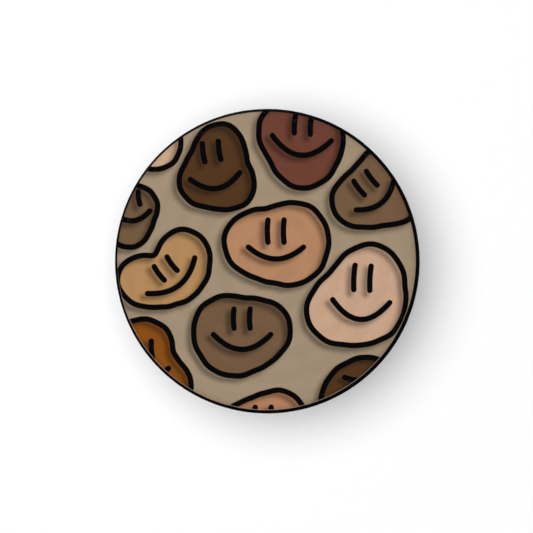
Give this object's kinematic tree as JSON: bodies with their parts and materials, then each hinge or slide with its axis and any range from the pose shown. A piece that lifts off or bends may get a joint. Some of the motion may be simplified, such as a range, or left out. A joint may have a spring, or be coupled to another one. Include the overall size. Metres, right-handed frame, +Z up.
{
  "type": "button badge",
  "caption": "Round pin-back button badge with a slightly domed printed face under clear film, a tinplate back and a wire safety pin that opens.",
  "frame": {"origin": "centre of the badge on the plane of its flat rear ring, where the cloth that it is pinned to lies", "axes": "+Z up as the badge is worn, +Y out of the back into the cloth, face looking along -Y, +X to the right of someone who looks at the face"},
  "size_m": [0.058, 0.0076, 0.058],
  "materials": {
    "film": "clear satin-gloss film",
    "print": "printed paper",
    "tinplate": "bright tinplate",
    "wire": "bright nickel-plated spring wire"
  },
  "bodies": {
    "badge": {"clear_film": "film", "printed_disc": "print", "front_shell": "tinplate", "back_plate": "tinplate", "pin_anchor_leg": "wire", "pin_coil": "wire"},
    "pin": {"pin_needle": "wire"}
  },
  "joints": [
    {"name": "pin_open", "type": "hinge", "parent": "badge", "child": "pin", "pos_m": [-0.017, -0.00045, 0.0087], "axis": [0, 0.7071, 0.7071], "range_deg": [0, 50], "stiffness_Nm_per_rad": 0.02, "deforming": ["pin_coil"]}
  ]
}
